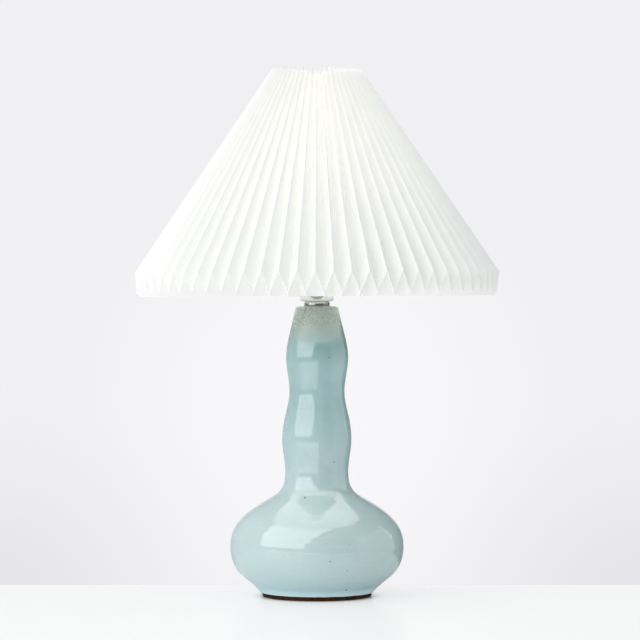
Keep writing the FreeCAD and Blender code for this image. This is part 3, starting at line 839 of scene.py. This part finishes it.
def makeShade():
    form = shadeForm
    ridges, valleys = foldSections()
    innerRidges, innerValleys = sheetInside(ridges, valleys)
    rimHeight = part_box("pleated_shade")[1].z / mm
    count = 2 * form["pleats"]
    seeded = np.random.default_rng(form["seed"])
    draws = {
        "around": seeded.uniform(-1, 1, (count, 3)),
        "out": seeded.uniform(-1, 1, (count, 3)),
        "tip": seeded.uniform(-1, 1, (count, 3)) * form["tipShares"],
    }
    bow = form["bow"] * seeded.uniform(0.3, 1.0, count)[:, None, None]
    skins, masks, glowMasks = [], [], []
    for ridgeLine, valleyLine, outer in ((ridges, valleys, True), (innerRidges, innerValleys, False)):
        rows = sheetRows(foldLines(ridgeLine, valleyLine, rimHeight, draws))
        # share of a panel that the outside of a fold takes: wider where the panels stand closer
        radius = np.hypot(rows[0, :, 0], rows[0, :, 1])
        sine = np.clip(radius * math.sin(math.pi / form["pleats"]) / form["panelWidth"], 0.1, 0.9)
        cosine = np.sqrt(1 - sine ** 2)
        outside = 2 * form["sheet"] * (1 / sine - 1) / (form["panelWidth"] * cosine)
        tight = np.full_like(outside, form["innerRound"])
        share = np.full_like(outside, form["ridgeRound"])
        ridgeRound, valleyRound = (share, tight) if outer else (tight, outside)
        points, mask = acrossSheet(rows, ridgeRound, valleyRound, bow)
        skins.append(points)
        masks.append(mask)
        glowMasks.append(foldGlowMask(points, not outer))
    rowsCount = skins[0].shape[1]
    # marks the inner skin, which gets the painted glow that only reflections see
    inside = np.repeat([0.0, 1.0], rowsCount)[:, None] + 0 * skins[0][:, 0, 0]
    # down the outer skin and up the inner one
    points, mask, depth = (np.concatenate([outer, inner[:, ::-1]], 1).swapaxes(0, 1)
                           for outer, inner in (skins, masks, glowMasks))
    quads = gridQuads(2 * rowsCount, count * 8, closeRows=True)
    newPiece("pleated_shade", points * mm, quads, "shade", "pleated_sheet", 50,
             fold=mask, depth=depth, inside=inside)


finishes["pleated_sheet"] = pleatedSheet()
makeShade()
print("shade folded:", shadeForm["pleats"], "pleats")


# Lampholder, carrier and bulb.

# plastic, rubber, porcelain, paint and glass: light and dark colour, roughness, then scale and grain
mouldings = {
    "white_plastic": ((0.88, 0.88, 0.86, 1), (0.82, 0.82, 0.795, 1), 0.28),
    "grey_plastic": ((0.40, 0.40, 0.385, 1), (0.33, 0.33, 0.32, 1), 0.32),
    "black_plastic": ((0.045, 0.045, 0.045, 1), (0.028, 0.028, 0.028, 1), 0.35),
    "rubber": ((0.05, 0.05, 0.048, 1), (0.03, 0.03, 0.03, 1), 0.6),
    "porcelain": ((0.80, 0.79, 0.75, 1), (0.70, 0.69, 0.65, 1), 0.2),
    "white_wire": ((0.84, 0.84, 0.82, 1), (0.74, 0.74, 0.72, 1), 0.34, 90.0, 0.00002),
    "black_glass": ((0.02, 0.02, 0.022, 1), (0.012, 0.012, 0.014, 1), 0.08),
    "opal_glass": ((0.88, 0.88, 0.87, 1), (0.84, 0.84, 0.83, 1), 0.12, 30.0, 0.000004),
}
# metal: light and dark colour, roughness, and whether it is turned round the axis
metals = {
    "chrome": ((0.36, 0.38, 0.36, 1), (0.22, 0.24, 0.22, 1), 0.14, True),
    "zinc_steel": ((0.58, 0.57, 0.53, 1), (0.42, 0.41, 0.38, 1), 0.3, False),
    "brass": ((0.72, 0.52, 0.22, 1), (0.50, 0.34, 0.13, 1), 0.25, False),
    "aluminium": ((0.70, 0.70, 0.69, 1), (0.55, 0.55, 0.54, 1), 0.26, True),
    "solder": ((0.50, 0.51, 0.52, 1), (0.32, 0.33, 0.34, 1), 0.4, False),
}
for recipe, table in ((moulded, mouldings), (polished, metals)):
    for slot, values in table.items():
        finishes[slot] = recipe(camelCase(slot), *values)
# the lamp is on in the photo: the bulb's glow fills the shade and shows through its folds
bulbGlow = {"Emission Color": (1.0, 0.93, 0.80, 1), "Emission Strength": 5.6}
for label, value in bulbGlow.items():
    finishes["opal_glass"].node_tree.nodes["Principled BSDF"].inputs[label].default_value = value


copySharpAngle = 32.0


def cleanCopy(node, body, slot):
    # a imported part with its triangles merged, so that its curved faces shade smoothly
    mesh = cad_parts[node].data.copy()
    mesh.name = camelCase(node)
    mesh.materials.clear()
    for layer in list(mesh.attributes):
        if layer.name in ("custom_normal", "sharp_face", "sharp_edge"):
            mesh.attributes.remove(layer)
    tidyMesh(mesh, copySharpAngle, flip=False)
    settle(newObject(camelCase(node), mesh), body, node, slot)


collarForm = {"wall": 1.6, "stepWidth": 0.7, "stepHeight": 0.9, "round": 0.35, "bore": 5.1, "steps": 128}


def makeCollar():
    form = collarForm
    low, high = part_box("neck_collar")
    r, z0, z1 = high.x / mm, low.z / mm, high.z / mm
    inside, soft = r - form["wall"], form["round"]
    outline = roundedOutline([
        (inside, z0, 0), (r, z0, soft), (r, z1 - form["stepHeight"], soft),
        (r - form["stepWidth"], z1 - form["stepHeight"], 0.12), (r - form["stepWidth"], z1, 0.15),
        (form["bore"], z1, 0), (form["bore"], z1 - form["wall"], 0), (inside, z1 - form["wall"], 0.3)])
    turnedPiece("neck_collar", outline, form["steps"], "base", "chrome", 30)


sleeveForm = {"wall": 1.7, "skirt": 7.0, "mouthRadius": 15.4, "mouthDepth": 2.0, "capRadius": 17.5,
              "spigotRadius": 16.9, "pitch": 2.6, "threadDepth": 0.55, "coreTop": 337.3,
              "threadAbove": 1.5, "threadUnder": 2.0, "threadEase": 1.5, "steps": 96, "threadRows": 92}


def threadedRadius(z, angle, pitch, depth):
    # depth under the crest of a single-start thread: a rounded ridge that climbs one pitch a turn
    turn = z / pitch - angle / (2 * math.pi)
    return depth * (0.5 - 0.5 * np.cos(2 * math.pi * turn)) ** 0.8


def makeSleeve():
    form = sleeveForm
    low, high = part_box("holder_sleeve")
    z0, z1, r = low.z / mm, high.z / mm, high.x / mm
    skirtTop, threadRows, steps = z0 + form["skirt"], form["threadRows"], form["steps"]
    threadFrom, threadTo = skirtTop + form["threadAbove"], z1 - form["threadUnder"]
    barrel = np.linspace(threadFrom, threadTo, threadRows)
    bore, mouth, ledge = r - form["wall"], form["mouthRadius"], z1 - form["mouthDepth"]
    below = [(form["spigotRadius"], z0), (form["capRadius"] - 0.2, z0), (form["capRadius"], z0 + 0.2),
             (r - 0.35, skirtTop - 1.0), (r - 0.05, skirtTop - 0.3), (r, skirtTop + 0.3)]
    above = [(r, z1 - 1.7), (r - 0.25, z1 - 0.9), (r - 0.85, z1 - 0.2), (r - 1.6, z1),
             (mouth + 0.4, z1), (mouth, z1 - 0.4), (mouth, ledge), (bore, ledge),
             (bore, form["coreTop"]), (form["spigotRadius"], form["coreTop"])]
    outline = np.concatenate([below, np.stack([np.full(threadRows, r), barrel], -1), above])
    points = turnedPoints(outline, steps)
    rows = slice(len(below), len(below) + threadRows)
    z = points[rows, :, 2] / mm
    ease = np.clip(np.minimum(z - threadFrom, threadTo - z) / form["threadEase"], 0, 1)
    cut = threadedRadius(z, fullTurn(steps), form["pitch"], form["threadDepth"]) * ease
    points[rows, :, :2] *= (1 - cut / r)[..., None]
    quads = gridQuads(len(outline), steps, closeRows=True)
    newPiece("holder_sleeve", points, quads, "base", "white_plastic", 40)


buttonForm = {"crown": 0.8, "crownWidth": 0.96, "dish": 0.35, "dishEdge": 1.8, "stemRadius": 3.0,
              "keyDepth": 4.0, "steps": 72}


def makeButton():
    # turned about the Y axis: a rounded rim about a shallow finger dish, on a round stem
    form = buttonForm
    low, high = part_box("switch_button")
    centreZ, radius = (low.z + high.z) / 2 / mm, (high.z - low.z) / 2 / mm
    front, back, keyBack = low.y / mm, high.y / mm, low.y / mm + form["keyDepth"]
    dish = np.linspace(0, radius - form["dishEdge"], 10)
    face = np.stack([dish, front + form["dish"] * (1 - (dish / dish[-1]) ** 2) ** 1.5 + 0.02], -1)
    angle = np.linspace(0, math.pi / 2, 8)
    rim = np.stack([radius - form["crownWidth"] * (1 - np.sin(angle)),
                    front + form["crown"] * (1 - np.cos(angle))], -1)
    side = [(radius, keyBack), (form["stemRadius"], keyBack), (form["stemRadius"], back - 0.3),
            (form["stemRadius"] - 0.3, back), (0, back)]
    outline = np.concatenate([face, rim, side])
    turn = fullTurn(form["steps"])
    r, y = outline[:, 0, None], outline[:, 1, None]
    points = np.stack([r * np.cos(turn), y + 0 * turn, centreZ + r * np.sin(turn)], -1)
    newPiece("switch_button", points * mm, gridQuads(len(outline), form["steps"]), "button", "grey_plastic")


threadForm = {"pitch": 3.63, "depth": 0.85, "wall": 0.35, "plainBelow": 2.0, "plainAbove": 2.5,
              "crests": {"bulb_screw_cap": 13.1, "screw_shell": 13.95}, "steps": 72, "rows": 84}


def threadedShell(node, body, slot):
    # thin rolled tube with a rounded thread that grows out of its plain ends
    form = threadForm
    low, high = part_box(node)
    z0, z1 = low.z / mm, high.z / mm
    z, angle = np.linspace(z0, z1, form["rows"])[:, None], fullTurn(form["steps"])
    ease = np.clip((z - z0) / form["plainBelow"], 0, 1) * np.clip((z1 - z) / form["plainAbove"], 0, 1)
    radius = form["crests"][node] - threadedRadius(z, angle, form["pitch"], form["depth"]) * ease
    r, heights = np.concatenate([radius, radius[::-1] - form["wall"]]), np.concatenate([z, z[::-1]])
    points = np.stack([r * np.cos(angle), r * np.sin(angle), heights + 0 * angle], -1) * mm
    newPiece(node, points, gridQuads(len(points), form["steps"], closeRows=True), body, slot, 50)


bulbForm = {"glass": 1.0, "swell": 36.0, "gap": 0.3, "capWall": 0.5, "leaving": 0.42, "arriving": 0.40,
            "globeRows": 40, "neckRows": 21, "steps": 96}


def makeBulb():
    # globe whose neck sweeps into the cap: arc from the pole to below the middle, then a cubic to the neck
    form = bulbForm
    low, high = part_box("bulb_glass")
    r = high.x / mm
    centre = high.z / mm - r
    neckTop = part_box("bulb_screw_cap")[1].z / mm
    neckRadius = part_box("bulb_screw_cap")[1].x / mm - form["capWall"] - form["gap"]
    swell = math.radians(form["swell"])
    skins = []
    for inset in (0.0, form["glass"]):
        turn = np.linspace(math.pi / 2, -swell, form["globeRows"])
        globe = np.stack([(r - inset) * np.cos(turn), centre + (r - inset) * np.sin(turn)], -1)
        start, end = globe[-1], np.array([neckRadius - inset, neckTop])
        reach = np.linalg.norm(end - start)
        first = start - np.array([math.sin(swell), math.cos(swell)]) * reach * form["leaving"]
        second = end + np.array([0, reach * form["arriving"]])
        t = np.linspace(0, 1, form["neckRows"] + 1)[1:, None]
        sweep = ((1 - t) ** 3 * start + 3 * t * (1 - t) ** 2 * first
                 + 3 * t ** 2 * (1 - t) * second + t ** 3 * end)
        skins.append(np.concatenate([globe, sweep, [(neckRadius - inset, low.z / mm)]]))
    outline = np.concatenate([skins[0], skins[1][::-1]])
    turnedPiece("bulb_glass", outline, form["steps"], "bulb", "opal_glass", 50, closeRows=False)


makeCollar()
makeSleeve()
makeButton()
threadedShell("bulb_screw_cap", "bulb", "aluminium")
threadedShell("screw_shell", "base", "brass")
makeBulb()

plainCopies = (
    ("base", "white_plastic", ("holder_cap", "cord_bushing")),
    ("base", "rubber", ("neck_gasket",)),
    ("base", "zinc_steel", ("clamp_bar", "lock_washer", "threaded_nipple", "cap_lock_screw")),
    ("base", "brass", ("nipple_nut", "terminal_screws", "centre_contact", "side_contact")),
    ("base", "black_plastic", ("switch_block",)),
    ("base", "porcelain", ("holder_core",)),
    ("base", "white_plastic", ("shade_ring_lower", "shade_ring_upper")),
    ("carrier", "white_wire", ("carrier_hub", "carrier_arms", "carrier_top_ring")),
    ("bulb", "black_glass", ("bulb_insulator",)),
    ("bulb", "solder", ("bulb_contact",)),
)
for body, slot, nodes in plainCopies:
    for node in nodes:
        cleanCopy(node, body, slot)
print("lampholder, carrier and bulb dressed")


# Table, wall and lights.

stageLook = {
    "tableFront": -0.42,
    "tableBack": 0.113,
    "tableHalfWidth": 1.4,
    "footLight": 0.012,     # the table is clear to light that leaves a surface so close to it
    "tableWhite": (0.955, 0.955, 0.965, 1),
    "tableSeen": (1.0, 1.0, 1.0, 1),    # a share of what the camera sees of the table
    "seenShare": 0.56,
    "shadowEdge": (0.052, 0.072),           # from the axis outwards
    "wall": (0.872, 0.865, 0.889, 1),       # as the camera sees it, away from the lamp
    "wallNear": (0.935, 0.930, 0.950, 1),   # brighter round the lamp
    "wallCorner": (0.775, 0.768, 0.805, 1), # darker low down at the sides
    "lampHeading": (0.0, 1.0, -0.037),      # from the camera to the lamp
    # the headings between which one gives way to the next
    "nearReach": (0.02, 0.10),
    "cornerDown": (-0.035, -0.11),
    "cornerAside": (0.03, 0.12),
    "fillAcross": (-0.6, 0.6),
    "fillDown": (0.0, -0.2),
    "glossBehind": (0.93, 0.99),
    "fillLeft": (0.84, 0.84, 0.845, 1),     # light of the pale room on everything
    "fillRight": (0.45, 0.485, 0.495, 1),
    "fillBelow": (1.0, 1.0, 1.0, 1),
    "glossLeft": (0.50, 0.51, 0.52, 1),     # the room as polished surfaces see it
    "glossRight": (0.04, 0.045, 0.05, 1),
}


def tablePaint():
    # pale paint, a share of it shown at a fixed brightness so that shadows on it stay light; it has no
    # back and lets light through to what stands on it, so that the foot can be looked at from below
    look = stageLook
    material, tree, shader = newMaterial("tablePaint", IOR=1.4, Roughness=0.24)
    dark = tuple(c * 0.99 for c in look["tableWhite"][:3]) + (1,)
    connect(tree, shader, Base_Color=clouded(objectPlace(tree), 3.0, 0.4, look["tableWhite"], dark))
    seen = place("ShaderNodeEmission", {"Color": look["tableSeen"]}, tree)
    rays = rayKinds(tree)
    below = place("ShaderNodeNewGeometry", tree=tree).outputs["Backfacing"]
    touching = combine("LESS_THAN", rays["Ray Length"], look["footLight"])
    # close to the foot its shadow keeps its depth
    away = farFrom(stretched(objectPlace(tree), 1, 1, 0))
    share = times(rays["Is Camera Ray"], spread(away, *look["shadowEdge"], 0.0, look["seenShare"]))
    mixed = place("ShaderNodeMixShader", {0: share, 1: shader.outputs[0], 2: seen.outputs[0]})
    clear = place("ShaderNodeBsdfTransparent", tree=tree)
    sided = place("ShaderNodeMixShader", {0: combine("MAXIMUM", below, touching),
                                          1: mixed.outputs[0], 2: clear.outputs[0]})
    tree.links.new(sided.outputs[0], tree.nodes["Material Output"].inputs["Surface"])
    return material


def makeTable():
    # one open face, so that nothing of it shows from below
    look = stageLook
    front, back, side = look["tableFront"], look["tableBack"], look["tableHalfWidth"]
    corners = [(-side, front, 0), (side, front, 0), (side, back, 0), (-side, back, 0)]
    table = newObject("tableTop", newMesh("tableTop", corners, [(0, 1, 2, 3)]))
    table.data.materials.append(tablePaint())


def makeWorld():
    # the wall as the camera sees it, the room as gloss sees it, and a plain even light for the rest
    look = stageLook
    world = bpy.data.worlds.new("paleRoom")
    bpy.context.scene.world = world
    world.use_nodes = True
    tree = world.node_tree
    tree.nodes.clear()
    rays = rayKinds(tree)
    heading = place("ShaderNodeTexCoord", tree=tree).outputs["Generated"]
    x, y, z = axes(heading)
    across = spread(x, *look["fillAcross"])
    room = blendColour(across, look["glossLeft"], look["glossRight"])
    fill = blendColour(across, look["fillLeft"], look["fillRight"])
    fill = blendColour(spread(z, *look["fillDown"]), fill, look["fillBelow"])
    gloss = blendColour(spread(y, *look["glossBehind"]), room, look["wall"])
    # round the lamp, as seen from in front, the wall is a little brighter, and low at the sides darker
    far = farFrom(heading, look["lampHeading"])
    wall = blendColour(spread(far, *look["nearReach"]), look["wallNear"], look["wall"])
    corner = times(spread(z, *look["cornerDown"]), spread(combine("ABSOLUTE", x), *look["cornerAside"]))
    wall = blendColour(corner, wall, look["wallCorner"])
    seen = combine("MAXIMUM", rays["Is Camera Ray"], rays["Is Transmission Ray"])
    colour = blendColour(rays["Is Glossy Ray"], fill, gloss)
    colour = blendColour(seen, colour, wall)
    background = place("ShaderNodeBackground", {"Color": colour, "Strength": 1.0})
    place("ShaderNodeOutputWorld", {"Surface": background.outputs[0]})


# where each light stands as seen from the lamp: azimuth from the camera's side (left is minus) and
# elevation of the point that it faces from, then how far its middle is moved to the right and up
lights = {
    "windowLeft": {"azimuth": -54.0, "elevation": 37.0, "distance": 1.4, "right": 0.206, "up": 0.49,
                   "width": 1.84, "height": 2.73, "onMatt": 0.55, "inGloss": 2.75},
    # high enough for the shade to keep it off the body
    "panelAbove": {"azimuth": 90.0, "elevation": 72.0, "width": 1.0, "height": 1.0, "onMatt": 1.15},
    "panelRight": {"azimuth": 88.0, "elevation": 10.0, "width": 1.75, "height": 1.35, "inGloss": 0.70},
    "glareLeft": {"azimuth": -38.0, "elevation": -20.0, "width": 2.6, "height": 0.90, "inGloss": 1.5},
    "stripRight": {"azimuth": 120.0, "elevation": 14.0, "width": 0.05, "height": 1.1, "inGloss": 2.6},
}
usualLight = {"distance": 1.5, "right": 0.0, "up": 0.0, "onMatt": 0.0, "inGloss": 0.0, "apart": 0.02}
aimPoint = Vector((0, 0, 0.10))


def makeLights():
    for name, own in lights.items():
        form = {**usualLight, **own}
        a, e = math.radians(form["azimuth"]), math.radians(form["elevation"])
        out = Vector((math.sin(a) * math.cos(e), -math.cos(a) * math.cos(e), math.sin(e)))
        right = Vector((math.cos(a), math.sin(a), 0))
        up = right.cross(-out)
        spot = aimPoint + right * form["right"] + up * form["up"]
        # two lights one behind the other, so that rays meet both; one that gives nothing is left out
        for kind, radiance, away in (("OnMatt", form["onMatt"], form["apart"]),
                                     ("InGloss", form["inGloss"], 0.0)):
            if radiance == 0:
                continue
            data = bpy.data.lights.new(name + kind, "AREA")
            data.shape = "RECTANGLE"
            data.size, data.size_y = form["width"], form["height"]
            data.energy = radiance * math.pi * form["width"] * form["height"]
            light = newObject(name + kind, data)
            light.location = spot + out * (form["distance"] + away)
            light.rotation_euler = (-out).to_track_quat("-Z", "Y").to_euler()
            light.visible_camera = False
            light.visible_diffuse = light.visible_transmission = kind == "OnMatt"
            light.visible_glossy = kind == "InGloss"


makeTable()
makeWorld()
makeLights()
print("stage and lights set")
